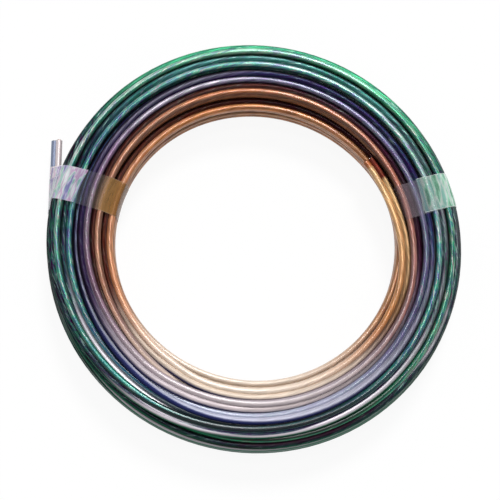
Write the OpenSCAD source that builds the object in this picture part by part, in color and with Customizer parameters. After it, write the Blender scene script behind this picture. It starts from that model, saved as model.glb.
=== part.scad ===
// Coil of clear twin speaker wire, taped in two places and lying flat.
// The coil's axis is +Z, and the origin is on the surface that it lies on, under the middle of the eye.
// Angles are measured about +Z from +X. The wire is wound clockwise, from its inner end to its outer end.

/* [Wire] */
// Diameter of each of the two insulated cores
core_d = 2.8; // [2.4:0.1:3.4]
// Distance between the centres of the two cores, less than their diameter so that they join
core_pitch = 2.65; // [2.2:0.05:2.75]
// Diameter of the conductor inside each core
conductor_d = 1.5; // [0.8:0.1:1.8]

/* [Coil] */
// Outside diameter over the turns
coil_od = 175; // [150:1:220]
// Width of the bundle of turns, from the eye to the outside
bundle_w = 30; // [26:0.5:36]
// Height of the bundle along the coil's axis
bundle_h = 22; // [20:0.5:28]
// Corner radius of the bundle's section
bundle_corner = 9.5; // [6:0.5:9.5]
// Least space between neighbouring turns on the rim of the bundle
turn_gap = 0.1; // [0.1:0.05:0.4]

/* [Ends] */
// Where the outer end leaves the coil, in degrees
outer_leave_angle = 176; // [168:1:184]
// Straight length of the outer end past that place
outer_end_l = 41; // [25:1:60]
// Where the inner end is cut, in degrees
inner_cut_angle = 36; // [26:1:60]

/* [Tape] */
// Width of the adhesive tape
tape_w = 15; // [10:0.5:18]
// Thickness of the tape where it is wrapped double
tape_t = 0.1; // [0.05:0.05:0.3]
// Middle of the left tape, which also holds the outer end, in degrees
left_tape_angle = 160; // [156:1:162]
// Middle of the right tape, in degrees
right_tape_angle = 18; // [8:1:24]

/* [Hidden] */
$fn = 96;
// Facets of the rounded corners that the tape is stretched over
tape_fn = 32;
// Space between the tape and the turns, and between a loose turn and its seat in the bundle
seat_gap = 0.05;
// Space between a conductor and the jacket round it
strand_gap = 0.02;
// Length by which the space inside a wrap of tape passes the tape's edges
overrun = 0.02;
// Length of the short slices that carry the tape over the outer end
slice_l = 0.2;

core_r = core_d / 2;
conductor_r = conductor_d / 2;
coil_r = coil_od / 2;
eye_r = coil_r - bundle_w;
bundle_mid_r = coil_r - bundle_w / 2;
bundle_mid_z = tape_t + seat_gap + bundle_h / 2;

// The rim is the line through the centres of the outermost cores, a rectangle with round corners
rim_half_w = bundle_w / 2 - core_r;
rim_half_h = bundle_h / 2 - core_r;
rim_corner = bundle_corner - core_r;
rim_side = rim_half_h - rim_corner;
rim_flat = rim_half_w - rim_corner;
rim_arc = PI * rim_corner / 2;
rim_quarter = rim_side + rim_arc + rim_flat;
rim_length = 4 * rim_quarter;

// An even number of turns lies side by side round the rim
turns_round_rim = 2 * floor(rim_length / (core_pitch + core_d + turn_gap) / 2);
turn_spacing = rim_length / turns_round_rim;
outer_turn = 0;
inner_turn = turns_round_rim / 2;
all_turns = [0 : turns_round_rim - 1];
held_turns = [for (turn = all_turns) if (turn != outer_turn && turn != inner_turn) turn];
loose_turns = [outer_turn, inner_turn];
// The two cores of a turn, as signs along the rim
copper_side = -1;
tinned_side = 1;
both_sides = [copper_side, tinned_side];

// The last turn runs from under the left tape right round to where the outer end leaves
outer_turn_sweep = 360 - (outer_leave_angle - left_tape_angle);
// The first turn runs from its cut end to under the left tape
inner_turn_start = left_tape_angle - 360;
inner_turn_sweep = inner_cut_angle - inner_turn_start;

jacket_color = "#cfd6d2";
turns_color = "#2f7f66";
inner_jacket_color = "#c08a5c";
copper_color = "#b4703c";
tinned_color = "#bfc2c6";
tape_color = [0.92, 0.9, 0.95, 0.5];

// A point of the rim's first quarter, at a distance along it from the middle of the outer wall
function quarter_point(along) =
    along < rim_side ? [rim_half_w, along]
    : along < rim_side + rim_arc
        ? let (a = 90 * (along - rim_side) / rim_arc)
          [rim_flat + rim_corner * cos(a), rim_side + rim_corner * sin(a)]
    : [rim_quarter - along, rim_half_h];

// A point of the whole rim, counted anticlockwise and mirrored quarter by quarter
function rim_point(along) =
    let (
        whole = (along % rim_length + rim_length) % rim_length,
        quarter = floor(whole / rim_quarter),
        rest = whole - quarter * rim_quarter,
        p = quarter_point(quarter % 2 == 0 ? rest : rim_quarter - rest)
    )
    [(quarter == 1 || quarter == 2 ? -1 : 1) * p.x, (quarter >= 2 ? -1 : 1) * p.y];

// Centre of one core of one turn, as radius and height
function core_place(turn, side) =
    [bundle_mid_r, bundle_mid_z] + rim_point(turn * turn_spacing + side * core_pitch / 2);

// Distance of the straight outer end from the axis, as the left tape's own radius, across that tape
function outer_end_x(across) =
    let (turned = outer_leave_angle - left_tape_angle)
    (core_place(outer_turn, copper_side).x - across * sin(turned)) / cos(turned);

module cores(turns, sides, r) {
    for (turn = turns, side = sides)
        translate(core_place(turn, side))
            circle(r = r);
}

// Section of the twin jacket: two round cores that run into each other, with a round way for each conductor
module jacket_section(turn) {
    difference() {
        cores([turn], both_sides, core_r);
        cores([turn], both_sides, conductor_r + strand_gap);
    }
}

// All the turns but the first and the last, wound into one bundle. The last and the first turn have a
// seat of their own in its outer and its inner wall.
module coil_turns() {
    color(turns_color)
        rotate_extrude()
            difference() {
                union() {
                    polygon([for (turn = all_turns, side = both_sides) core_place(turn, side)]);
                    cores(held_turns, both_sides, core_r);
                }
                cores(loose_turns, both_sides, core_r + seat_gap);
            }
}

// The last turn lies in its seat, then leaves the coil along the tangent
module along_outer_turn() {
    rotate([0, 0, outer_leave_angle]) {
        rotate_extrude(angle = outer_turn_sweep)
            children();
        rotate([90, 0, 0])
            linear_extrude(height = outer_end_l)
                children();
    }
}

// The first turn lies in its seat from the left tape to its cut end
module along_inner_turn() {
    rotate([0, 0, inner_turn_start])
        rotate_extrude(angle = inner_turn_sweep)
            children();
}

module outer_turn_jacket() {
    color(jacket_color)
        along_outer_turn()
            jacket_section(outer_turn);
}

module outer_turn_copper_core() {
    color(copper_color)
        along_outer_turn()
            cores([outer_turn], [copper_side], conductor_r);
}

module outer_turn_tinned_core() {
    color(tinned_color)
        along_outer_turn()
            cores([outer_turn], [tinned_side], conductor_r);
}

module inner_turn_jacket() {
    color(inner_jacket_color)
        along_inner_turn()
            jacket_section(inner_turn);
}

module inner_turn_copper_core() {
    color(copper_color)
        along_inner_turn()
            cores([inner_turn], [copper_side], conductor_r);
}

module inner_turn_tinned_core() {
    color(tinned_color)
        along_inner_turn()
            cores([inner_turn], [tinned_side], conductor_r);
}

// The space inside a wrap of tape, grown by a margin: the bundle's section, and the outer end if it is held too
module inside_wrap(width, margin, holds_end) {
    // The eye's wall curves away from the flat film by this much at the edges of the tape
    sag = eye_r - sqrt(eye_r * eye_r - tape_w * tape_w / 4);
    hull() {
        for (x = [eye_r - sag + bundle_corner, coil_r - bundle_corner], up = [-1, 1])
            translate([x, 0, bundle_mid_z + up * (bundle_h / 2 - bundle_corner)])
                rotate([90, 0, 0])
                    cylinder(r = bundle_corner + margin, h = width, center = true, $fn = tape_fn);
        if (holds_end)
            for (edge = [-1, 1], side = both_sides)
                let (across = edge * (width - slice_l) / 2)
                translate([outer_end_x(across), across, core_place(outer_turn, side).y])
                    rotate([90, 0, 0])
                        cylinder(r = core_r + seat_gap + margin, h = slice_l, center = true, $fn = tape_fn);
    }
}

// A length of clear tape wrapped tightly round the whole bundle
module tape_wrap(angle, holds_end) {
    color(tape_color)
        rotate([0, 0, angle])
            difference() {
                inside_wrap(tape_w, seat_gap + tape_t, holds_end);
                inside_wrap(tape_w + 2 * overrun, seat_gap, holds_end);
            }
}

module left_tape() {
    tape_wrap(left_tape_angle, holds_end = true);
}

module right_tape() {
    tape_wrap(right_tape_angle, holds_end = false);
}

coil_turns();
outer_turn_jacket();
outer_turn_copper_core();
outer_turn_tinned_core();
inner_turn_jacket();
inner_turn_copper_core();
inner_turn_tinned_core();
left_tape();
right_tape();
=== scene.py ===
import math

import bpy
import numpy as np
from mathutils import Matrix, Vector


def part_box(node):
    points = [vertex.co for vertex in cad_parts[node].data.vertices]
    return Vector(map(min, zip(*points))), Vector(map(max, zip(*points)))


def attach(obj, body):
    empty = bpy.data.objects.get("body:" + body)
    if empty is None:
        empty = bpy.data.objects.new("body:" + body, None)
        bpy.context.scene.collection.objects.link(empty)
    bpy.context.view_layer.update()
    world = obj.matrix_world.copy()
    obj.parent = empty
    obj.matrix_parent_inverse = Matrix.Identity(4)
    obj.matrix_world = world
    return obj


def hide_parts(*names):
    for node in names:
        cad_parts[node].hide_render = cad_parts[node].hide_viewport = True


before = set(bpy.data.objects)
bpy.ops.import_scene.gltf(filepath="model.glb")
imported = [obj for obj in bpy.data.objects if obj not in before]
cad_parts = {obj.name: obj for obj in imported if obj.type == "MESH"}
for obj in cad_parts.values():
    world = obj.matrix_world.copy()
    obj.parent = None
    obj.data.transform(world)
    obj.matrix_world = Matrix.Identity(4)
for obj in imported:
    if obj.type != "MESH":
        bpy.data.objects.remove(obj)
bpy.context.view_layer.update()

# Camera. It looks down on the coil from a little in front of it, as someone does who has put it on a table,
# with a long lens. The coil's outside diameter sets the scale of the picture.
MM = 0.001
IMAGE_PX = 500
COIL_WIDTH_PX = 411
COIL_CENTRE_PX = (253.0, 245.3)
CAMERA_ELEVATION = math.radians(78)
CAMERA_DISTANCE = 0.70
SENSOR_MM = 36.0

COIL_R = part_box("outer_turn_jacket")[1][0]
COIL_MID_Z = sum(corner[2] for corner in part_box("coil_turns")) / 2
metres_per_px = 2 * COIL_R / COIL_WIDTH_PX
look_down = Vector((0, math.cos(CAMERA_ELEVATION), -math.sin(CAMERA_ELEVATION)))
image_up = Vector((0, math.sin(CAMERA_ELEVATION), math.cos(CAMERA_ELEVATION)))
image_right = Vector((1, 0, 0))
aim = Vector((0, 0, COIL_MID_Z))
aim += image_right * (IMAGE_PX / 2 - COIL_CENTRE_PX[0]) * metres_per_px
aim += image_up * (COIL_CENTRE_PX[1] - IMAGE_PX / 2) * metres_per_px

camera_data = bpy.data.cameras.new("camera")
camera_data.sensor_width = SENSOR_MM
camera_data.sensor_fit = "HORIZONTAL"
camera_data.lens = SENSOR_MM * CAMERA_DISTANCE / (IMAGE_PX * metres_per_px)
camera = bpy.data.objects.new("camera", camera_data)
camera.matrix_world = Matrix.Translation(aim - look_down * CAMERA_DISTANCE) @ Matrix(
    (image_right, image_up, -look_down)
).transposed().to_4x4()
bpy.context.scene.collection.objects.link(camera)
bpy.context.scene.camera = camera

# Speaker wire. One length of twin wire, two stranded conductors in a clear soft PVC jacket that is drawn
# over both at once. It is wound by hand from the eye outwards, each turn laid beside or on the one before.
CORE_D = 2.8
CORE_PITCH = 2.65
CONDUCTOR_D = 1.5
CABLE_W = CORE_D + CORE_PITCH
BUNDLE_W = 30.0
BUNDLE_H = 22.0
BUNDLE_CORNER = 7.5
BUNDLE_MID_R = COIL_R / MM - BUNDLE_W / 2
STATIONS_PER_TURN = 120
INNER_CUT_DEG = 36.0
OUTER_LEAVE_DEG = 175.7
OUTER_END_L = 42.5
ROWS_IN_COLUMN = (6, 7, 7, 7, 6)
ROW_SPACING = 1.04 * CORE_D
OUTER_END_ROLL_DEG = -36.0
LAY_ROUNDS = 300
WINDING_SEED = 5
CLEAR_OF_NEIGHBOUR = 1.03


def winding_order():
    """Places of the turns in the bundle's section, in mm from its middle, in the order of winding."""
    column_x = np.linspace(-1, 1, len(ROWS_IN_COLUMN)) * (BUNDLE_W - CABLE_W) / 2
    inner, second, middle, fourth, outer = (range(rows) for rows in ROWS_IN_COLUMN)
    order = [(0, row) for row in reversed(inner)]
    order += [(1, row) for row in second]
    order += [(2, row) for row in reversed(middle)]
    # The two outer columns are wound together, so that the last turn lies half way up the outer wall
    order += [(3, 0), (4, 0), (4, 1)]
    order += [(3, row) for row in fourth[1:]]
    order += [(4, row) for row in reversed(outer[2:])]
    return np.array([
        (column_x[column], (row - (ROWS_IN_COLUMN[column] - 1) / 2) * ROW_SPACING) for column, row in order
    ])


def waver(turns_done, rng, size, waves_per_turn):
    """A slow random waver along the wire, smooth from one turn to the next."""
    x = turns_done * waves_per_turn
    knots = rng.normal(0, size, int(x[-1]) + 4)
    i = x.astype(int)
    t = x - i
    a, b, c, d = (knots[i + step] for step in range(4))
    return b + 0.5 * t * (c - a + t * (2 * a - 5 * b + 4 * c - d + t * (3 * (b - c) + d - a)))


def push_apart(cores, cable_of_core, clear):
    """How far each core in a section moves to clear the cores of other turns."""
    apart = cores[:, :, None, :] - cores[:, None, :, :]
    distance = np.sqrt((apart ** 2).sum(-1))
    overlap = np.nan_to_num(clear - distance)
    overlap[:, cable_of_core[:, None] == cable_of_core[None, :]] = 0
    overlap = np.maximum(overlap, 0)
    direction = np.nan_to_num(apart / np.maximum(distance, 1e-6)[..., None])
    return (direction * overlap[..., None]).sum(2)


def push_inside(cores, inset):
    """How far each core moves to stay in the bundle's section, a rectangle with round corners."""
    corner = BUNDLE_CORNER - CORE_D / 2
    half = np.array([BUNDLE_W, BUNDLE_H]) / 2 - BUNDLE_CORNER - np.stack([inset / 2, 0 * inset], -1)
    from_middle = cores - np.stack([inset / 2, 0 * inset], -1)
    beyond = np.maximum(np.abs(from_middle) - half, 0)
    reach = np.sqrt((beyond ** 2).sum(-1, keepdims=True))
    return -np.sign(from_middle) * beyond / np.maximum(reach, 1e-6) * np.maximum(reach - corner, 0)


def stiffen(values, share):
    """Bends the wire towards a smooth line, as its stiffness does."""
    for _ in range(3):
        smooth = values.copy()
        smooth[2:-2] = (-values[:-4] + 4 * values[1:-3] + 10 * values[2:-2]
                        + 4 * values[3:-1] - values[4:]) / 16
        values += share * (smooth - values)
        smooth = values.copy()
        smooth[1:-1] = (values[:-2] + 2 * values[1:-1] + values[2:]) / 4
        values += share * (smooth - values)


rng = np.random.default_rng(WINDING_SEED)
places = winding_order()
turn_count = len(places) - 1 + (INNER_CUT_DEG - OUTER_LEAVE_DEG) % 360 / 360
station_count = round(turn_count * STATIONS_PER_TURN) + 1
turns_done = np.arange(station_count) / STATIONS_PER_TURN
angle = np.radians(INNER_CUT_DEG) - 2 * np.pi * turns_done

step = np.minimum(turns_done, len(places) - 1)
from_place = np.minimum(step.astype(int), len(places) - 2)
part_way = step - from_place
part_way = (part_way ** 2 * (3 - 2 * part_way))[:, None]
lay = places[from_place] * (1 - part_way) + places[from_place + 1] * part_way
# How far the hand strays as it winds: a size, in mm or degrees, and waves in a turn
SIDEWAYS_WAVER = (0.9, 1.7)
UPWARD_WAVER = (0.6, 1.9)
ROLL_WAVER = (30, 1.3)
MEAN_ROLL_DEG = -12
lay[:, 0] += waver(turns_done, rng, *SIDEWAYS_WAVER)
lay[:, 1] += waver(turns_done, rng, *UPWARD_WAVER)
roll = np.radians(MEAN_ROLL_DEG + waver(turns_done, rng, *ROLL_WAVER))

# The inner end lies flat on the inner shoulder of the bundle before it goes in among the other turns
INNER_TIP = np.array([-11.6, 6.4])
INNER_TIP_ROLL_DEG = -4.0
INNER_CLIMB = np.array([3.4, 1.8])
INNER_CLIMB_TURNS = (0.03, 0.16)
INNER_HELD = 60
INNER_HOLD = 0.6
OUTER_HELD = 30
OUTER_HOLD = 0.5
inner_hold = INNER_HOLD * np.cos(np.linspace(0, np.pi / 2, INNER_HELD)) ** 2
outer_hold = np.linspace(0, OUTER_HOLD, OUTER_HELD)
climbed = np.clip((turns_done[:INNER_HELD, None] - INNER_CLIMB_TURNS[0]) / np.ptp(INNER_CLIMB_TURNS), 0, 1)
inner_path = INNER_TIP + INNER_CLIMB * climbed ** 2 * (3 - 2 * climbed)

# The bundle is slimmer at its sides, where the tapes hold it, and at the front, and most of all beside
# the inner end
SLACK = 0.35
SIDE_PINCH = 0.95
FRONT_PINCH = 0.7
TUCK_MIDDLE_DEG = 18.0
TUCK_SPREAD_DEG = 62.0
TUCK_DEPTH = 2.2
TUCK_FROM_TURN = 0.5
from_tuck = (angle - math.radians(TUCK_MIDDLE_DEG) + np.pi) % (2 * np.pi) - np.pi
tuck_phase = np.clip(from_tuck / math.radians(TUCK_SPREAD_DEG), -1, 1) * np.pi / 2
beside_end = np.cos(tuck_phase) ** 2 * (turns_done > TUCK_FROM_TURN)
inset = (-SLACK + SIDE_PINCH * np.cos(angle) ** 2 + FRONT_PINCH * np.clip(-np.sin(angle), 0, 1) ** 2
         + TUCK_DEPTH * beside_end)[:, None]

# The turns settle round by round: pushed apart, pushed into the bundle and bent smooth, less so near the end
APART_SHARE = 0.35
INSIDE_SHARE = 0.8
LONGEST_PUSH = 0.5
STIFFNESS = 0.30
LATE_STIFFNESS = 0.12
LATE_FROM = 0.7
turn_rows = -(-station_count // STATIONS_PER_TURN)
cable_of_core = np.repeat(np.arange(turn_rows), 2)
for lay_round in range(LAY_ROUNDS):
    across = np.stack([np.cos(roll), np.sin(roll)], 1)
    cores = np.stack([lay - across * CORE_PITCH / 2, lay + across * CORE_PITCH / 2], 1)
    section = np.full((turn_rows * STATIONS_PER_TURN, 2, 2), np.nan)
    section[:station_count] = cores
    section = section.reshape(turn_rows, STATIONS_PER_TURN, 2, 2).transpose(1, 0, 2, 3)
    section = section.reshape(STATIONS_PER_TURN, 2 * turn_rows, 2)
    push = APART_SHARE * push_apart(section, cable_of_core, CLEAR_OF_NEIGHBOUR * CORE_D)
    push = push.reshape(STATIONS_PER_TURN, turn_rows, 2, 2).transpose(1, 0, 2, 3).reshape(-1, 2, 2)
    push = push[:station_count] + INSIDE_SHARE * push_inside(cores, inset)
    push *= np.minimum(1, LONGEST_PUSH / np.maximum(np.sqrt((push ** 2).sum(-1, keepdims=True)), 1e-9))
    lay += push.mean(1)
    upright = np.stack([-across[:, 1], across[:, 0]], 1)
    roll += ((push[:, 1] - push[:, 0]) * upright).sum(1) / CORE_PITCH
    share = STIFFNESS if lay_round < LATE_FROM * LAY_ROUNDS else LATE_STIFFNESS
    for values in (lay[:, 0], lay[:, 1], roll):
        stiffen(values, share)
    lay[:INNER_HELD] += inner_hold[:, None] * (inner_path - lay[:INNER_HELD])
    roll[:INNER_HELD] += inner_hold * (np.radians(INNER_TIP_ROLL_DEG) - roll[:INNER_HELD])
    roll[-OUTER_HELD:] += outer_hold * (np.radians(OUTER_END_ROLL_DEG) - roll[-OUTER_HELD:])

# A coil wound by hand isn't quite round: this one is a little longer on one diagonal
OUT_OF_ROUND = 0.9
LONG_DIAGONAL_DEG = 138.0
LOOSE = 0.65
out_of_round = LOOSE + OUT_OF_ROUND * np.cos(2 * (angle - math.radians(LONG_DIAGONAL_DEG)))
radial = np.stack([np.cos(angle), np.sin(angle), np.zeros(station_count)], 1)
upward = np.array([0.0, 0.0, 1.0])
from_axis = BUNDLE_MID_R + lay[:, :1] + out_of_round[:, None]
centre = radial * from_axis + upward * (COIL_MID_Z / MM + lay[:, 1:])
side_dir = radial * np.cos(roll)[:, None] + upward * np.sin(roll)[:, None]
top_dir = -radial * np.sin(roll)[:, None] + upward * np.cos(roll)[:, None]

# The outer end runs on straight from the last turn, and its own spring holds it a little away from the coil
END_SPRING_DEG = 2.2
END_BEND_L = 10
END_STATIONS = 24
end_steps = np.linspace(0, OUTER_END_L, END_STATIONS + 1)[1:]
end_turn = angle[-1] - math.pi / 2 + math.radians(END_SPRING_DEG) * np.minimum(1, end_steps / END_BEND_L)
end_dirs = np.stack([np.cos(end_turn), np.sin(end_turn), 0 * end_turn], 1)
end_points = centre[-1] + np.cumsum(end_dirs, 0) * OUTER_END_L / END_STATIONS
centre = np.concatenate([centre, end_points])
side_dir = np.concatenate([side_dir, np.repeat(side_dir[-1:], END_STATIONS, 0)])
top_dir = np.concatenate([top_dir, np.repeat(top_dir[-1:], END_STATIONS, 0)])
along = np.concatenate([[0], np.cumsum(np.sqrt((np.diff(centre, axis=0) ** 2).sum(1)))])
wire_length = along[-1]

# Two round cores that run into each other at a narrow neck
CORE_POINTS = 12
CUT_EDGE_DEG = 60
neck = math.acos(CORE_PITCH / CORE_D)
sweep = np.linspace(-math.pi + neck, math.pi - neck, CORE_POINTS)
tinned_outline = np.stack([CORE_PITCH / 2 + CORE_D / 2 * np.cos(sweep), CORE_D / 2 * np.sin(sweep)], 1)
copper_outline = -tinned_outline[1:-1]
outline = np.concatenate([tinned_outline, copper_outline])
outline_count = len(outline)


def new_mesh_piece(name, points_mm, faces):
    mesh = bpy.data.meshes.new(name)
    mesh.from_pydata((np.asarray(points_mm) * MM).tolist(), [], faces)
    mesh.shade_smooth()
    piece = bpy.data.objects.new(name, mesh)
    bpy.context.scene.collection.objects.link(piece)
    return piece


rings = centre[:, None] + outline[None, :, :1] * side_dir[:, None] + outline[None, :, 1:] * top_dir[:, None]
ring_start = np.arange(len(centre) - 1)[:, None] * outline_count
here = np.arange(outline_count)
after = (here + 1) % outline_count
quads = np.stack([ring_start + here, ring_start + here + outline_count,
                  ring_start + after + outline_count, ring_start + after], -1).reshape(-1, 4)
last_ring = (len(centre) - 1) * outline_count
caps = [list(range(outline_count)), list(range(last_ring + outline_count - 1, last_ring - 1, -1))]
wire = new_mesh_piece("speaker_wire", rings.reshape(-1, 3), quads.tolist() + caps)
wire.data.set_sharp_from_angle(angle=math.radians(CUT_EDGE_DEG))
core_of_face = np.concatenate([np.tile((here >= CORE_POINTS - 1).astype(int), len(centre) - 1), [0, 0]])
wire.data.polygons.foreach_set("material_index", core_of_face)

# The map runs in mm: along the wire, and round each core
uv = wire.data.uv_layers.new(name="wire_mm")
corner_vertex = np.empty(len(wire.data.loops), int)
wire.data.loops.foreach_get("vertex_index", corner_vertex)
round_core = np.concatenate([sweep, sweep[1:-1]]) * CORE_D / 2
uv_mm = np.stack([along[corner_vertex // outline_count], round_core[corner_vertex % outline_count]], 1)
uv.data.foreach_set("uv", uv_mm.astype(np.float32).ravel())


def linear(hex_colour):
    """sRGB hex to the linear colour that the shader takes."""
    parts = [int(hex_colour[i:i + 2], 16) / 255 for i in (1, 3, 5)]
    return tuple(p / 12.92 if p <= 0.04045 else ((p + 0.055) / 1.055) ** 2.4 for p in parts) + (1.0,)


def add_node(tree, kind, settings=None, **links):
    """Adds a shader node. Settings are its properties, links are values or sockets for its inputs."""
    node = tree.nodes.new(kind)
    for name, value in (settings or {}).items():
        setattr(node, name, value)
    for name, value in links.items():
        key = int(name[1:]) if name[0] == "i" and name[1:].isdigit() else name.replace("_", " ")
        if isinstance(value, bpy.types.NodeSocket):
            tree.links.new(value, node.inputs[key])
        else:
            node.inputs[key].default_value = value
    return node


# Settings that many nodes share
PRODUCT = {"operation": "MULTIPLY"}
LARGER = {"operation": "MAXIMUM"}
SMOOTH_STEP = {"interpolation_type": "SMOOTHSTEP"}
COLOUR_MIX = {"data_type": "RGBA"}
COLOUR_PRODUCT = {"data_type": "RGBA", "blend_type": "MULTIPLY"}
FLAT_NOISE = {"noise_dimensions": "2D"}


def new_material(name):
    material = bpy.data.materials.new(name)
    material.use_nodes = True
    material.node_tree.nodes.clear()
    return material, material.node_tree


def set_ramp(ramp, stops):
    while len(ramp.elements) < len(stops):
        ramp.elements.new(0.5)
    for element, (position, colour) in zip(ramp.elements, stops):
        element.position = position
        element.color = linear(colour)


# Clear PVC, drawn bright, over fine strands. The strands fill the core to the eye, because the round jacket
# magnifies them, so their colour and twist show all over it, under a gloss that gives thin white lines.
# The copper has aged from bright at the eye, through brown and purple, to green in the outer turns. Over
# that, each turn is painted palest where it faced the light, at the front near the eye and at the back on the
# outside, and painted darker elsewhere: painted light and painted shade.
STRAND_LAY_MM = 28.0
# The strands are 0.3 mm thick: they are drawn nearly twice as wide, so that they show at this size
STRAND_W_MM = 0.5
STRAND_W_TO_RUN = 0.06
STREAK_MM = (220.0, 5.0)
OXIDE_SPOT_MM = (7.0, 0.9)
OXIDE_PATCH_MM = (60.0, 2.6)
OXIDE_PATCH_START = (17.0, 5.0, 0.0)
OXIDE_MOST = 0.75
GOLD_HIGHLIGHT_MM = (15.0, 85.0)
TIP_EDGE_MM = 1.5
PALE_FREE_END_MM = (-5, 12)
TOWARDS_FRONT = (-0.1, -0.995, 0)
# Places along the wire are shares of its length from the inner end. By the first of these two the turns lie
# near the eye, and after the second they lie on the outside
EYE_TO_OUTSIDE = (0.4, 0.8)
# Copper, brown, purple, indigo, teal and green in turn: a painted shade copy for each core, and one painted
# light copy that both share
COPPER_PAINTED_SHADE = [(0.02, "#d4803e"), (0.03, "#c08458"), (0.28, "#bc784c"), (0.32, "#bc7040"),
                   (0.35, "#806c9c"), (0.376, "#505e98"), (0.83, "#24769a"), (0.866, "#0f9870"),
                   (0.90, "#0cae60")]
TINNED_PAINTED_SHADE = [(0.02, "#521e08"), (0.28, "#4c1e0c"), (0.32, "#42180c"), (0.35, "#2e205c"),
                   (0.376, "#222a60"), (0.83, "#16143c"), (0.866, "#2c0a28"), (0.90, "#143a3c")]
AGED_PAINTED_LIGHT = [(0.02, "#ecdac8"), (0.32, "#e0ccbc"), (0.35, "#c2bcd0"), (0.376, "#a6b0cc"),
                 (0.83, "#5aa2a0"), (0.866, "#50d494"), (0.90, "#16be6a")]


def jacketed_strands(name, painted_shade_colours, tip_colour, tip_mm, spots, dark_share, pale_highlight_share, flank_shade_share,
                     lit_flank_shade_share, first_turns_flank_shade, flank_mm, free_end, gloss, strand_gloss):
    """One core of the wire: its strands as the jacket shows them, from the inner end to the free one."""
    material, tree = new_material(name)
    place = add_node(tree, "ShaderNodeUVMap", {"uv_map": "wire_mm"}).outputs[0]
    split = add_node(tree, "ShaderNodeSeparateXYZ", Vector=place)
    along_mm, round_mm = split.outputs[0], split.outputs[1]
    way = add_node(tree, "ShaderNodeMath", {"operation": "DIVIDE"}, i0=along_mm, i1=wire_length).outputs[0]
    at = add_node(tree, "ShaderNodeTexCoord")
    compass = add_node(tree, "ShaderNodeVectorMath", {"operation": "NORMALIZE"}, i0=at.outputs["Object"])
    frontness = add_node(tree, "ShaderNodeVectorMath", {"operation": "DOT_PRODUCT"}, i0=compass.outputs[0],
                         i1=TOWARDS_FRONT).outputs["Value"]
    # Painted light and shade: the lit copy shows at the front for the turns by the eye, at the back for the
    # outer ones
    painted_light_side = add_node(tree, "ShaderNodeMapRange", Value=way, From_Min=EYE_TO_OUTSIDE[0],
                          From_Max=EYE_TO_OUTSIDE[1], To_Min=1.0, To_Max=-1.0)
    toward_painted_light = add_node(tree, "ShaderNodeMath", PRODUCT, i0=frontness, i1=painted_light_side.outputs[0])
    lit = add_node(tree, "ShaderNodeMapRange", SMOOTH_STEP, Value=toward_painted_light.outputs[0], From_Min=0.32,
                   From_Max=1.0).outputs[0]
    painted_shade_ramp = add_node(tree, "ShaderNodeValToRGB", Fac=way)
    set_ramp(painted_shade_ramp.color_ramp, painted_shade_colours)
    painted_light_ramp = add_node(tree, "ShaderNodeValToRGB", Fac=way)
    set_ramp(painted_light_ramp.color_ramp, AGED_PAINTED_LIGHT)
    base = add_node(tree, "ShaderNodeMix", COLOUR_MIX, i0=lit, i6=painted_shade_ramp.outputs[0], i7=painted_light_ramp.outputs[0])

    # Long stretches where a conductor has gone nearly black, less so where it is painted lit, and near-white
    # stretches, mostly on the outer turns, that are a painted highlight
    streak_place = add_node(tree, "ShaderNodeMapping", Vector=place,
                            Scale=(1 / STREAK_MM[0], 1 / STREAK_MM[1], 1))
    streaks = add_node(tree, "ShaderNodeTexNoise", FLAT_NOISE, Vector=streak_place.outputs[0],
                       Scale=1.0, Detail=2.0, Roughness=0.5).outputs[0]
    dark = add_node(tree, "ShaderNodeMapRange", Value=streaks, From_Min=0.39, From_Max=0.53,
                    To_Min=dark_share, To_Max=0.0)
    pale = add_node(tree, "ShaderNodeMapRange", Value=streaks, From_Min=0.52, From_Max=0.62,
                    To_Min=0.0, To_Max=pale_highlight_share)
    unlit = add_node(tree, "ShaderNodeMapRange", Value=lit, To_Min=1.0, To_Max=0.25)
    dark_unlit = add_node(tree, "ShaderNodeMath", PRODUCT, i0=dark.outputs[0], i1=unlit.outputs[0])
    darkened = add_node(tree, "ShaderNodeMix", COLOUR_MIX, i0=dark_unlit.outputs[0], i6=base.outputs[2],
                        i7=linear("#240418"))
    off_copper = add_node(tree, "ShaderNodeMapRange", Value=way, From_Min=0.32, From_Max=0.36, To_Min=0.15)
    pale_highlight_outside = add_node(tree, "ShaderNodeMath", PRODUCT, i0=pale.outputs[0], i1=off_copper.outputs[0])
    streaked = add_node(tree, "ShaderNodeMix", COLOUR_MIX, i0=pale_highlight_outside.outputs[0], i6=darkened.outputs[2],
                        i7=linear("#f4eef2"))

    # Near the inner end the strands are drawn gold, a painted highlight, and the very tip darker: on the
    # tinned core dark red, a painted shade
    gold_highlight = add_node(tree, "ShaderNodeMapRange", Value=along_mm, From_Min=GOLD_HIGHLIGHT_MM[0], From_Max=GOLD_HIGHLIGHT_MM[1],
                    To_Min=0.85, To_Max=0.0)
    gold_highlighted = add_node(tree, "ShaderNodeMix", COLOUR_MIX, i0=gold_highlight.outputs[0], i6=streaked.outputs[2],
                      i7=linear("#ecc08a"))
    at_tip = add_node(tree, "ShaderNodeMapRange", Value=along_mm, From_Min=tip_mm - TIP_EDGE_MM,
                      From_Max=tip_mm, To_Min=0.95, To_Max=0.0)
    tip_coloured = add_node(tree, "ShaderNodeMix", COLOUR_MIX, i0=at_tip.outputs[0], i6=gold_highlighted.outputs[2],
                       i7=linear(tip_colour))

    # Towards the front the turns look calmer: strands and spots show less there
    front = add_node(tree, "ShaderNodeMapRange", SMOOTH_STEP, Value=frontness, From_Min=0.2,
                     From_Max=0.9).outputs[0]
    calm = add_node(tree, "ShaderNodeMapRange", Value=front, To_Min=1.0, To_Max=0.35).outputs[0]

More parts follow.
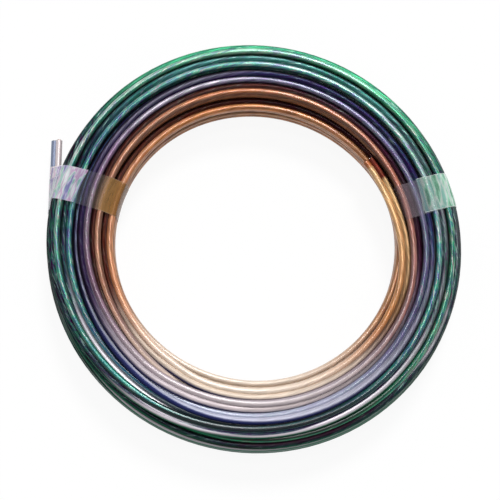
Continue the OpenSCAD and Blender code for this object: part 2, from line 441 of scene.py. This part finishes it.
    # Strands: fine lines that turn slowly round the core
    twist = add_node(tree, "ShaderNodeMath", {"operation": "MULTIPLY_ADD"}, i0=along_mm,
                     i1=math.pi * CONDUCTOR_D / STRAND_LAY_MM, i2=round_mm)
    on_strand = add_node(tree, "ShaderNodeCombineXYZ", X=along_mm, Y=twist.outputs[0]).outputs[0]
    strand_scale = add_node(tree, "ShaderNodeMapping", Vector=on_strand,
                            Scale=(STRAND_W_TO_RUN / STRAND_W_MM, 1 / STRAND_W_MM, 1))
    strands = add_node(tree, "ShaderNodeTexNoise", FLAT_NOISE, Vector=strand_scale.outputs[0],
                       Scale=1.0, Detail=1.0, Roughness=0.5).outputs[0]
    strand_shade = add_node(tree, "ShaderNodeMapRange", Value=strands,
                            From_Min=0.3, From_Max=0.7, To_Min=0.55, To_Max=1.25)

    # Oxide: small spots of other colours, in long patches, more of them the further out the turn is
    spot_scale = add_node(tree, "ShaderNodeMapping", Vector=on_strand,
                          Scale=(1 / OXIDE_SPOT_MM[0], 1 / OXIDE_SPOT_MM[1], 1))
    spot_noise = add_node(tree, "ShaderNodeTexNoise", FLAT_NOISE, Vector=spot_scale.outputs[0],
                          Scale=1.0, Detail=2.0, Roughness=0.65)
    spot_colour = add_node(tree, "ShaderNodeValToRGB", Fac=spot_noise.outputs[0])
    set_ramp(spot_colour.color_ramp, spots)
    patch_scale = add_node(tree, "ShaderNodeMapping", Vector=on_strand, Location=OXIDE_PATCH_START,
                           Scale=(1 / OXIDE_PATCH_MM[0], 1 / OXIDE_PATCH_MM[1], 1))
    patch_noise = add_node(tree, "ShaderNodeTexNoise", FLAT_NOISE, Vector=patch_scale.outputs[0],
                           Scale=1.0, Detail=2.0, Roughness=0.6)
    patch = add_node(tree, "ShaderNodeMapRange", Value=patch_noise.outputs[0],
                     From_Min=0.32, From_Max=0.56, To_Min=0.2, To_Max=1.0)
    spread = add_node(tree, "ShaderNodeMapRange", Value=way,
                      From_Min=0.33, From_Max=0.42, To_Min=0.12, To_Max=OXIDE_MOST)
    spot_share = add_node(tree, "ShaderNodeMath", PRODUCT, i0=patch.outputs[0], i1=spread.outputs[0])
    calm_spots = add_node(tree, "ShaderNodeMath", PRODUCT, i0=spot_share.outputs[0], i1=calm)
    spotted = add_node(tree, "ShaderNodeMix", COLOUR_MIX, i0=calm_spots.outputs[0],
                       i6=tip_coloured.outputs[2], i7=spot_colour.outputs[0])
    strand_depth = add_node(tree, "ShaderNodeMapRange", Value=lit, To_Min=1.0, To_Max=0.45)
    strands_seen = add_node(tree, "ShaderNodeMath", {"operation": "MINIMUM"}, i0=strand_depth.outputs[0],
                            i1=calm)
    stranded = add_node(tree, "ShaderNodeMix", COLOUR_PRODUCT, i0=strands_seen.outputs[0],
                        i6=spotted.outputs[2], i7=strand_shade.outputs[0])

    # Each core is darkened along its outer side, where it meets the next turn: a painted shade between the
    # turns.
    # Along the front of the coil this painted shade is dark blue by the eye and dark green outside, elsewhere
    # near black
    off_flank = add_node(tree, "ShaderNodeMath", {"operation": "ABSOLUTE"}, i0=round_mm)
    flank = add_node(tree, "ShaderNodeMapRange", SMOOTH_STEP, Value=off_flank.outputs[0],
                     From_Min=flank_mm[0], From_Max=flank_mm[1], To_Min=1.0, To_Max=0.0)
    by_eye = add_node(tree, "ShaderNodeMapRange", Value=way, From_Min=EYE_TO_OUTSIDE[0],
                      From_Max=EYE_TO_OUTSIDE[1], To_Min=1.0, To_Max=0.0).outputs[0]
    front_flank_shade = add_node(tree, "ShaderNodeMix", COLOUR_MIX, i0=by_eye, i6=linear("#0f6a48"),
                             i7=linear("#101c5a"))
    flank_shade_colour = add_node(tree, "ShaderNodeMix", COLOUR_MIX, i0=front, i6=linear("#12060a"),
                              i7=front_flank_shade.outputs[2])
    flank_shade_strength = add_node(tree, "ShaderNodeMapRange", Value=lit, To_Min=flank_shade_share,
                             To_Max=lit_flank_shade_share)
    under_others = add_node(tree, "ShaderNodeMapRange", Value=way, From_Min=0.28, From_Max=0.31,
                            To_Min=first_turns_flank_shade)
    flank_shade_reach = add_node(tree, "ShaderNodeMath", PRODUCT, i0=under_others.outputs[0],
                        i1=flank_shade_strength.outputs[0])
    painted_flank_shade = add_node(tree, "ShaderNodeMath", PRODUCT, i0=flank.outputs[0], i1=flank_shade_reach.outputs[0])
    flank_shaded = add_node(tree, "ShaderNodeMix", COLOUR_MIX, i0=painted_flank_shade.outputs[0],
                       i6=stranded.outputs[2], i7=flank_shade_colour.outputs[2])

    # On the outer turns at the front the long stretches show as lines: nearly black ones, and pale ones on
    # the tops of the turns, a painted highlight
    outside = add_node(tree, "ShaderNodeMath", {"operation": "SUBTRACT"}, i0=1.0, i1=by_eye)
    front_outside = add_node(tree, "ShaderNodeMath", PRODUCT, i0=front, i1=outside.outputs[0])
    shape = add_node(tree, "ShaderNodeNewGeometry")
    facing = add_node(tree, "ShaderNodeSeparateXYZ", Vector=shape.outputs["Normal"])
    on_top = add_node(tree, "ShaderNodeMapRange", SMOOTH_STEP, Value=facing.outputs[2],
                      From_Min=0.55, From_Max=0.95)
    top_front_highlight = add_node(tree, "ShaderNodeMath", PRODUCT, i0=front_outside.outputs[0], i1=on_top.outputs[0])
    lined = flank_shaded
    for low, high, where, line_colour in ((0.47, 0.42, front_outside, "#1e0616"),
                                          (0.53, 0.57, top_front_highlight, "#eae2ea")):
        line = add_node(tree, "ShaderNodeMapRange", Value=streaks, From_Min=low, From_Max=high,
                        To_Min=0.0, To_Max=0.85)
        line_share = add_node(tree, "ShaderNodeMath", PRODUCT, i0=line.outputs[0], i1=where.outputs[0])
        lined = add_node(tree, "ShaderNodeMix", COLOUR_MIX, i0=line_share.outputs[0],
                         i6=lined.outputs[2], i7=linear(line_colour))

    # The free end stands clear of the coil and is drawn pale, partly a milky jacket and partly painted light;
    # on the tinned core it is blue-grey, the tinned strands with painted shade
    to_end = add_node(tree, "ShaderNodeMapRange", Value=along_mm,
                      From_Min=wire_length - OUTER_END_L + PALE_FREE_END_MM[0],
                      From_Max=wire_length - OUTER_END_L + PALE_FREE_END_MM[1], To_Min=0.0, To_Max=0.92)
    ended = add_node(tree, "ShaderNodeMix", COLOUR_MIX, i0=to_end.outputs[0],
                     i6=lined.outputs[2], i7=linear(free_end))
    relief = add_node(tree, "ShaderNodeBump", Height=strands, Strength=0.06, Distance=0.2 * MM)

    # Over the pale turns the metal's own shine hardly shows
    front_by_eye = add_node(tree, "ShaderNodeMath", PRODUCT, i0=front, i1=by_eye)
    metal_here = add_node(tree, "ShaderNodeMapRange", Value=front_by_eye.outputs[0], To_Min=0.4, To_Max=0.08)
    surface = add_node(tree, "ShaderNodeBsdfPrincipled", Base_Color=ended.outputs[2],
                       Normal=relief.outputs[0], Metallic=metal_here.outputs[0], Roughness=0.42,
                       Specular_IOR_Level=strand_gloss, Coat_Weight=gloss, Coat_Roughness=0.18, Coat_IOR=1.53)
    add_node(tree, "ShaderNodeOutputMaterial", Surface=surface.outputs[0])
    return material


# The tinned core's dark red tip and blue-grey free end are painted shade; the copper core's pale free end is
# partly painted light
wire.data.materials.append(jacketed_strands(
    "clear_pvc_over_tinned_strands", TINNED_PAINTED_SHADE, tip_colour="#6a100c", tip_mm=11.0,
    spots=[(0.28, "#2c0618"), (0.38, "#340c40"), (0.45, "#144a52"), (0.53, "#1c7048"), (0.60, "#34205a"),
           (0.70, "#8fb8a8")],
    dark_share=0.8, pale_highlight_share=0.25, flank_shade_share=0.8, lit_flank_shade_share=0.95, first_turns_flank_shade=1.0,
    flank_mm=(0.8, 2.0), free_end="#8a93ac", gloss=0.05, strand_gloss=0.0))
wire.data.materials.append(jacketed_strands(
    "clear_pvc_over_copper_strands", COPPER_PAINTED_SHADE, tip_colour="#b8622c", tip_mm=4.0,
    spots=[(0.28, "#2a1450"), (0.38, "#6a4494"), (0.45, "#2a7c8c"), (0.52, "#35a06a"), (0.58, "#8fd3b0"),
           (0.64, "#9a4c78"), (0.74, "#dcece4")],
    dark_share=0.4, pale_highlight_share=0.65, flank_shade_share=0.6, lit_flank_shade_share=0.35, first_turns_flank_shade=0.0,
    flank_mm=(0.4, 1.5), free_end="#e8dadd", gloss=0.65, strand_gloss=0.1))
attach(wire, "root")
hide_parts("coil_turns", "outer_turn_jacket", "outer_turn_copper_core", "outer_turn_tinned_core",
            "inner_turn_jacket", "inner_turn_copper_core", "inner_turn_tinned_core")

# Cut ends. Where the wire was cut square, the bare strands of both conductors show in the face of the jacket.
# Nineteen strands lie in each, some pulled a little longer than the rest by the cutters.
STRAND_D = 0.3
STRAND_SIDES = 8
STRAND_ROOT = 0.8
STRAND_REACH = (0.15, 0.55)
PINCHED_TIP = 0.03
PINCHED_SIZE = 0.7
SCRATCH_MM = 0.15

strand_places = [(0.0, 0.0)]
for ring, in_ring in ((1, 6), (2, 12)):
    strand_places += [(ring * STRAND_D * math.cos(2 * math.pi * i / in_ring),
                       ring * STRAND_D * math.sin(2 * math.pi * i / in_ring)) for i in range(in_ring)]


def cut_strands(name, station, outward, core_side):
    """The bare strands of one conductor at a cut end, each a short round rod pinched at its tip."""
    points, faces = [], []
    for x, y in strand_places:
        reach = rng.uniform(*STRAND_REACH)
        first = len(points)
        for depth, size in ((-STRAND_ROOT, 1.0), (reach - PINCHED_TIP, 1.0), (reach, PINCHED_SIZE)):
            for i in range(STRAND_SIDES):
                a = 2 * math.pi * i / STRAND_SIDES
                u = core_side * CORE_PITCH / 2 + x + size * STRAND_D / 2 * math.cos(a)
                v = y + size * STRAND_D / 2 * math.sin(a)
                in_face = centre[station] + u * side_dir[station] + v * top_dir[station]
                points.append(in_face + depth * outward)
        for level in (0, STRAND_SIDES):
            for i in range(STRAND_SIDES):
                j = (i + 1) % STRAND_SIDES
                faces.append((first + level + i, first + level + j,
                              first + level + STRAND_SIDES + j, first + level + STRAND_SIDES + i))
        faces.append(tuple(first + 2 * STRAND_SIDES + i for i in range(STRAND_SIDES)))
        faces.append(tuple(first + i for i in reversed(range(STRAND_SIDES))))
    return new_mesh_piece(name, points, faces)


# Drawn copper, bare or tinned. Shears leave it bright, with fine scratches
def drawn_strand(name, bright, dull):
    material, tree = new_material(name)
    at = add_node(tree, "ShaderNodeTexCoord")
    scratch = add_node(tree, "ShaderNodeTexNoise", Vector=at.outputs["Object"], Scale=1 / (SCRATCH_MM * MM),
                       Detail=2.0)
    tone = add_node(tree, "ShaderNodeValToRGB", Fac=scratch.outputs[0])
    set_ramp(tone.color_ramp, [(0.35, dull), (0.65, bright)])
    rough = add_node(tree, "ShaderNodeMapRange", Value=scratch.outputs[0], From_Min=0.3, From_Max=0.7,
                     To_Min=0.25, To_Max=0.4)
    surface = add_node(tree, "ShaderNodeBsdfPrincipled", Base_Color=tone.outputs[0], Metallic=1.0,
                       Roughness=rough.outputs[0])
    add_node(tree, "ShaderNodeOutputMaterial", Surface=surface.outputs[0])
    return material


bare_copper = drawn_strand("drawn_copper", "#d89a74", "#a8633f")
tinned_copper = drawn_strand("tinned_drawn_copper", "#d4d2cd", "#9c9a97")
inner_outward = (centre[0] - centre[1]) / np.linalg.norm(centre[0] - centre[1])
outer_outward = (centre[-1] - centre[-2]) / np.linalg.norm(centre[-1] - centre[-2])
for end, station, outward in (("inner", 0, inner_outward), ("outer", -1, outer_outward)):
    for metal, core_side, finish in (("copper", -1, bare_copper), ("tinned", 1, tinned_copper)):
        strands = cut_strands(f"{end}_end_{metal}_strands", station, outward, core_side)
        strands.data.materials.append(finish)
        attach(strands, "root")

# Clear tapes. Two strips of clear polypropylene film with adhesive on one side, wound tight round the bundle
# by hand and lapped over themselves on the outside. The left one also holds down the free end of the wire.
TAPE_W = 15.0
TAPE_T = 0.06
LAYER_T = 0.08
WRAP_POINTS = 132
WRAP_LENGTH = 88.0
TAPE_ROWS = 13
TAPE_EDGE_DEG = 50
FILM_DIRECTIONS = 721
across = np.stack([np.cos(roll), np.sin(roll)], 1)
section_cores = np.stack([lay - across * CORE_PITCH / 2, lay + across * CORE_PITCH / 2], 1)
section_cores += np.stack([BUNDLE_MID_R + out_of_round, np.full(station_count, COIL_MID_Z / MM)], 1)[:, None]


def cores_on_line(start, run, least_x):
    """Where the turns' cores cross an upright plane: how far along its line from start and how high, in mm.

    Turns that lie nearer the eye than least_x in the bundle's section are left out.
    """
    stations = np.arange(station_count)
    turn = np.arange(turn_rows)
    ahead = start @ run
    found, kept = [], []
    for core in (0, 1):
        reach = np.zeros(turn_rows)
        for _ in range(4):
            spot = start + reach[:, None] * run
            spot_angle = np.arctan2(spot[:, 1], spot[:, 0])
            part_turn = (math.radians(INNER_CUT_DEG) - spot_angle) / (2 * math.pi) % 1
            station = (turn + part_turn) * STATIONS_PER_TURN
            radius = np.interp(station, stations, section_cores[:, core, 0])
            reach = np.sqrt(ahead ** 2 - start @ start + radius ** 2) - ahead
        found.append(np.stack([reach, np.interp(station, stations, section_cores[:, core, 1])], 1))
        kept.append((station < station_count - 1) & (np.interp(station, stations, lay[:, 0]) > least_x))
    return np.concatenate(found)[np.concatenate(kept)]


def free_end_on_line(start, run, beside):
    """Where the free end's cores cross the same plane."""
    end = slice(station_count - 1, None)
    found = []
    for core_side in (-1, 1):
        core_line = centre[end] + core_side * CORE_PITCH / 2 * side_dir[end]
        passed = (core_line[:, :2] - start) @ beside
        out = (core_line[:, :2] - start) @ run
        found.append((np.interp(0, passed[::-1], out[::-1]), np.interp(0, passed[::-1], core_line[::-1, 2])))
    return np.array(found)


def pulled_tight(cores, clear):
    """The line of a film pulled tight round the cores, from the outside over the top, evenly divided."""
    facing = np.linspace(0, 2 * math.pi, FILM_DIRECTIONS)
    normal = np.stack([np.cos(facing), np.sin(facing)], 1)
    line = cores[(cores @ normal.T).argmax(0)] + (CORE_D / 2 + clear) * normal
    run = np.concatenate([[0], np.cumsum(np.hypot(*np.diff(line, axis=0).T))])
    even = np.linspace(0, run[-1], WRAP_POINTS + 1)[:-1]
    return np.stack([np.interp(even, run, line[:, 0]), np.interp(even, run, line[:, 1])], 1)


def tape_piece(name, middle_deg, run_deg, shift, layer, least_x, with_free_end, finish, lap=None,
               cut_slant=0.0):
    """A strip of film round the bundle. lap gives the first and last place of a lapped end along the wrap."""
    middle_angle, run_angle = math.radians(middle_deg), math.radians(run_deg)
    middle = BUNDLE_MID_R * np.array([math.cos(middle_angle), math.sin(middle_angle)])
    run = np.array([math.cos(run_angle), math.sin(run_angle)])
    clear = layer * LAYER_T
    beside = np.array([-run[1], run[0]])
    rows = []
    for row in range(TAPE_ROWS):
        across_tape = TAPE_W * (row / (TAPE_ROWS - 1) - 0.5)
        start = middle + (shift + across_tape) * beside
        cores = cores_on_line(start, run, least_x)
        if with_free_end:
            cores = np.concatenate([cores, free_end_on_line(start, run, beside)])
        skins = []
        for depth in (clear, clear + TAPE_T):
            line = pulled_tight(cores, depth)
            if lap:
                first, last = lap
                last += cut_slant * across_tape / TAPE_W
                place = np.linspace(first, last, WRAP_POINTS) % 1 * WRAP_POINTS
                low = place.astype(int)
                part = (place - low)[:, None]
                line = line[low] * (1 - part) + line[(low + 1) % WRAP_POINTS] * part
            skins.append(np.concatenate([start + line[:, :1] * run, line[:, 1:]], 1))
        rows.append(skins)
    points = np.array(rows)
    count = WRAP_POINTS
    index = np.arange(TAPE_ROWS * 2 * count).reshape(TAPE_ROWS, 2, count)
    steps = count - 1 if lap else count
    faces = []
    for row in range(TAPE_ROWS - 1):
        for i in range(steps):
            j = (i + 1) % count
            faces.append((index[row, 0, i], index[row, 0, j], index[row + 1, 0, j], index[row + 1, 0, i]))
    adhesive_faces = len(faces)
    for row in range(TAPE_ROWS - 1):
        for i in range(steps):
            j = (i + 1) % count
            faces.append((index[row, 1, i], index[row + 1, 1, i], index[row + 1, 1, j], index[row, 1, j]))
    for i in range(steps):
        j = (i + 1) % count
        faces.append((index[0, 0, i], index[0, 1, i], index[0, 1, j], index[0, 0, j]))
        faces.append((index[-1, 0, i], index[-1, 0, j], index[-1, 1, j], index[-1, 1, i]))
    if lap:
        for row in range(TAPE_ROWS - 1):
            faces.append((index[row, 0, 0], index[row + 1, 0, 0], index[row + 1, 1, 0], index[row, 1, 0]))
            faces.append((index[row, 0, -1], index[row, 1, -1], index[row + 1, 1, -1], index[row + 1, 0, -1]))
    piece = new_mesh_piece(name, points.reshape(-1, 3), [tuple(int(v) for v in face) for face in faces])
    piece.data.set_sharp_from_angle(angle=math.radians(TAPE_EDGE_DEG))
    film_map = piece.data.uv_layers.new(name="film_mm")
    corner_vertex = np.empty(len(piece.data.loops), int)
    piece.data.loops.foreach_get("vertex_index", corner_vertex)
    along_film = np.linspace(0, 1, count) * (WRAP_LENGTH * (lap[1] - lap[0]) if lap else WRAP_LENGTH)
    film_mm = np.stack([along_film[corner_vertex % count],
                        TAPE_W * (corner_vertex // (2 * count) / (TAPE_ROWS - 1) - 0.5)], 1)
    film_map.data.foreach_set("uv", film_mm.astype(np.float32).ravel())
    piece.data.materials.append(finish)
    piece.data.materials.append(clear_adhesive)
    finish_of_face = [1] * adhesive_faces + [0] * (len(faces) - adhesive_faces)
    piece.data.polygons.foreach_set("material_index", finish_of_face)
    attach(piece, "root")
    return piece


# Clear polypropylene film. The adhesive wets the jackets below, so the film takes their colour and only veils
# them: tan by the eye, hardly at all in the middle. Outwards and over the free end it is tinted pale, a
# painted glare, and in the laps it has pale patches, partly trapped air and partly painted glare.
WRINKLE_MM = (1.2, 5.0)
AIR_AND_GLARE_MM = (2.4, 13.0)
BRIGHT_EDGE_MM = 0.35
FREE_END_ROOM = 4


def clear_film(name, tints, air_and_glare_colours, air_and_glare_share, veil_change, inner_veil, outer_veil, end_veil, edge_light):
    """Film with its tints from the eye (0) to past the free end (1), and how far it veils what is below."""
    material, tree = new_material(name)
    at = add_node(tree, "ShaderNodeTexCoord")
    level = add_node(tree, "ShaderNodeVectorMath", PRODUCT, i0=at.outputs["Object"], i1=(1, 1, 0))
    from_axis = add_node(tree, "ShaderNodeVectorMath", {"operation": "LENGTH"}, i0=level.outputs[0])
    place = add_node(tree, "ShaderNodeMapRange", Value=from_axis.outputs["Value"],
                     From_Min=(BUNDLE_MID_R - BUNDLE_W / 2) * MM,
                     From_Max=(BUNDLE_MID_R + BUNDLE_W / 2 + FREE_END_ROOM) * MM)
    tint = add_node(tree, "ShaderNodeValToRGB", Fac=place.outputs[0])
    set_ramp(tint.color_ramp, tints)
    on_film = add_node(tree, "ShaderNodeUVMap", {"uv_map": "film_mm"})
    patch_scale = add_node(tree, "ShaderNodeMapping", Vector=on_film.outputs[0],
                           Scale=(1 / AIR_AND_GLARE_MM[0], 1 / AIR_AND_GLARE_MM[1], 1))
    patch_noise = add_node(tree, "ShaderNodeTexNoise", FLAT_NOISE, Vector=patch_scale.outputs[0],
                           Scale=1.0, Detail=2.0)
    patch = add_node(tree, "ShaderNodeValToRGB", Fac=patch_noise.outputs[0])
    set_ramp(patch.color_ramp, air_and_glare_colours)
    tinted = add_node(tree, "ShaderNodeMix", COLOUR_MIX, i0=air_and_glare_share, i6=tint.outputs[0],
                      i7=patch.outputs[0])
    wrinkle_scale = add_node(tree, "ShaderNodeMapping", Vector=on_film.outputs[0],
                             Scale=(1 / WRINKLE_MM[0], 1 / WRINKLE_MM[1], 1))
    wrinkles = add_node(tree, "ShaderNodeTexNoise", FLAT_NOISE, Vector=wrinkle_scale.outputs[0],
                        Scale=1.0, Detail=3.0)
    veil = add_node(tree, "ShaderNodeMapRange", Value=place.outputs[0], From_Min=veil_change[0],
                    From_Max=veil_change[1], To_Min=inner_veil, To_Max=outer_veil)
    over_end = add_node(tree, "ShaderNodeMapRange", Value=place.outputs[0], From_Min=0.88, From_Max=0.94,
                        To_Min=0.0, To_Max=end_veil)
    veil = add_node(tree, "ShaderNodeMath", LARGER, i0=veil.outputs[0], i1=over_end.outputs[0])
    uneven = add_node(tree, "ShaderNodeMapRange", Value=wrinkles.outputs[0], From_Min=0.3, From_Max=0.7,
                      To_Min=0.85, To_Max=1.15)
    veil_share = add_node(tree, "ShaderNodeMath", PRODUCT, i0=veil.outputs[0], i1=uneven.outputs[0])

    # The cut edges catch the light
    on_film_mm = add_node(tree, "ShaderNodeSeparateXYZ", Vector=on_film.outputs[0])
    from_middle = add_node(tree, "ShaderNodeMath", {"operation": "ABSOLUTE"}, i0=on_film_mm.outputs[1])
    edge = add_node(tree, "ShaderNodeMapRange", Value=from_middle.outputs[0],
                    From_Min=TAPE_W / 2 - BRIGHT_EDGE_MM, From_Max=TAPE_W / 2, To_Min=0.0, To_Max=edge_light)
    edged = add_node(tree, "ShaderNodeMix", COLOUR_MIX, i0=edge.outputs[0], i6=tinted.outputs[2],
                     i7=linear("#f6fafa"))
    veiled = add_node(tree, "ShaderNodeMath", LARGER, i0=veil_share.outputs[0], i1=edge.outputs[0])
    relief = add_node(tree, "ShaderNodeBump", Height=wrinkles.outputs[0], Strength=0.12, Distance=0.2 * MM)
    surface = add_node(tree, "ShaderNodeBsdfPrincipled", Base_Color=edged.outputs[2],
                       Normal=relief.outputs[0], Roughness=0.2, IOR=1.49, Specular_IOR_Level=0.12,
                       Alpha=veiled.outputs[0])
    add_node(tree, "ShaderNodeOutputMaterial", Surface=surface.outputs[0])
    return material


# Acrylic adhesive on the film's inner face. Wet against the jackets, it hardly shows
clear_adhesive, tree = new_material("clear_acrylic_adhesive")
surface = add_node(tree, "ShaderNodeBsdfPrincipled", Base_Color=linear("#f2f0ea"), Roughness=0.3, IOR=1.47,
                   Alpha=0.02)
add_node(tree, "ShaderNodeOutputMaterial", Surface=surface.outputs[0])

# Colours of the laps' pale patches, partly trapped air and partly painted glare; the films' pale outer tints
# are painted glare
LEFT_AIR_AND_GLARE = [(0.34, "#5a4cb4"), (0.41, "#d4bcf4"), (0.47, "#74d8ac"), (0.53, "#f4f8ff"), (0.59, "#dc8cd0"),
                (0.68, "#f8fafc")]
RIGHT_AIR_AND_GLARE = [(0.34, "#2ca070"), (0.44, "#a4f0cc"), (0.54, "#fafffc"), (0.66, "#7cc8bc")]
left_film = clear_film(
    "clear_film_left", [(0.0, "#6e4418"), (0.1, "#a07440"), (0.35, "#987850"), (0.5, "#7f86a0"),
                        (0.7, "#cfd8ea"), (1.0, "#fcf0f2")],
    LEFT_AIR_AND_GLARE, air_and_glare_share=0.0, veil_change=(0.24, 0.32), inner_veil=0.68, outer_veil=0.07, end_veil=0.7,
    edge_light=0.15)
left_lap_film = clear_film(
    "clear_film_left_lap", [(0.0, "#c09862"), (0.6, "#c4bfe4"), (0.74, "#eefaff"), (1.0, "#fcf0f2")],
    LEFT_AIR_AND_GLARE, air_and_glare_share=0.72, veil_change=(0.5, 0.8), inner_veil=0.42, outer_veil=0.62, end_veil=0.5,
    edge_light=0.3)
right_film = clear_film(
    "clear_film_right", [(0.0, "#8a7074"), (0.35, "#9a8494"), (0.55, "#a0a6b8"), (0.75, "#c0e6cf"),
                         (1.0, "#def4e6")],
    RIGHT_AIR_AND_GLARE, air_and_glare_share=0.0, veil_change=(0.24, 0.32), inner_veil=0.24, outer_veil=0.16, end_veil=0.0,
    edge_light=0.1)
right_lap_film = clear_film(
    "clear_film_right_lap", [(0.0, "#9adcc0"), (0.6, "#b8ecd2"), (0.8, "#eafaf2"), (1.0, "#f4fcf8")],
    RIGHT_AIR_AND_GLARE, air_and_glare_share=0.75, veil_change=(0.5, 0.85), inner_veil=0.2, outer_veil=0.6, end_veil=0.0,
    edge_light=0.8)
LEFT_TAPE_DEG = 161.4
RIGHT_TAPE_DEG = 14.9
ALL_TURNS = -99
LESS_INNERMOST = -8.6
left_tape = tape_piece("left_tape_wrap", LEFT_TAPE_DEG, run_deg=163.6, shift=1.1, layer=1, least_x=ALL_TURNS,
                       with_free_end=True, finish=left_film)
tape_piece("left_tape_lap", LEFT_TAPE_DEG, run_deg=166.0, shift=0.8, layer=2, least_x=ALL_TURNS,
           with_free_end=True, finish=left_lap_film, lap=(-0.10, 0.265), cut_slant=-0.02)
tape_piece("left_tape_end", LEFT_TAPE_DEG, run_deg=166.0, shift=5.6, layer=3, least_x=ALL_TURNS,
           with_free_end=True, finish=left_lap_film, lap=(-0.16, 0.125), cut_slant=0.01)
# The right tape leaves out the turns nearest the eye, the inner end among them
right_tape = tape_piece("right_tape_wrap", RIGHT_TAPE_DEG, run_deg=16.8, shift=-0.4, layer=1,
                        least_x=LESS_INNERMOST, with_free_end=False, finish=right_film)
tape_piece("right_tape_lap", RIGHT_TAPE_DEG, run_deg=15.2, shift=0.2, layer=2, least_x=LESS_INNERMOST,
           with_free_end=False, finish=right_lap_film, lap=(-0.12, 0.285), cut_slant=-0.015)
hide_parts("left_tape")
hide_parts("right_tape")

# Floor and light. A white table top, one large soft lamp behind the coil, a small one above it
# and an even grey room round it.
FLOOR_HALF = 6.0
FLOOR_CORNERS = ((-1, -1), (1, -1), (1, 1), (-1, 1))
FLOOR_GLOW = 0.92
ROOM_LIGHT = 0.36
floor_mesh = bpy.data.meshes.new("floor")
floor_mesh.from_pydata([(x * FLOOR_HALF, y * FLOOR_HALF, 0.0) for x, y in FLOOR_CORNERS], [], [(0, 1, 2, 3)])
floor = bpy.data.objects.new("floor", floor_mesh)
bpy.context.scene.collection.objects.link(floor)
# Matt white laminate. To the camera and in reflections it is close to plain white, and it keeps the shadow
table_top, tree = new_material("white_laminate")
rays = add_node(tree, "ShaderNodeLightPath")
seen = add_node(tree, "ShaderNodeMath", LARGER, i0=rays.outputs["Is Camera Ray"],
                i1=rays.outputs["Is Glossy Ray"])
seen = add_node(tree, "ShaderNodeMath", LARGER, i0=seen.outputs[0], i1=rays.outputs["Is Transmission Ray"])
glow_share = add_node(tree, "ShaderNodeMath", PRODUCT, i0=seen.outputs[0], i1=FLOOR_GLOW)
lit = add_node(tree, "ShaderNodeBsdfDiffuse", Color=linear("#f9f9f9"))
glow = add_node(tree, "ShaderNodeEmission", Color=linear("#ffffff"), Strength=1.0)
both = add_node(tree, "ShaderNodeMixShader", i0=glow_share.outputs[0], i1=lit.outputs[0], i2=glow.outputs[0])
add_node(tree, "ShaderNodeOutputMaterial", Surface=both.outputs[0])
floor_mesh.materials.append(table_top)

for name, strength, width_deg, height_deg, turn_deg in (
    ("large_soft_lamp", 2.4, 18, 50, -14),
    ("small_overhead_lamp", 0.45, 10, 78, 0),
):
    lamp_data = bpy.data.lights.new(name, "SUN")
    lamp_data.energy = strength
    lamp_data.angle = math.radians(width_deg)
    lamp = bpy.data.objects.new(name, lamp_data)
    lamp.rotation_euler = (math.radians(height_deg - 90), 0, math.radians(turn_deg))
    bpy.context.scene.collection.objects.link(lamp)

world = bpy.data.worlds.new("even_grey_room")
world.use_nodes = True
world.node_tree.nodes["Background"].inputs["Color"].default_value = linear("#ffffff")
world.node_tree.nodes["Background"].inputs["Strength"].default_value = ROOM_LIGHT
bpy.context.scene.world = world
bpy.context.scene.view_settings.view_transform = "Standard"
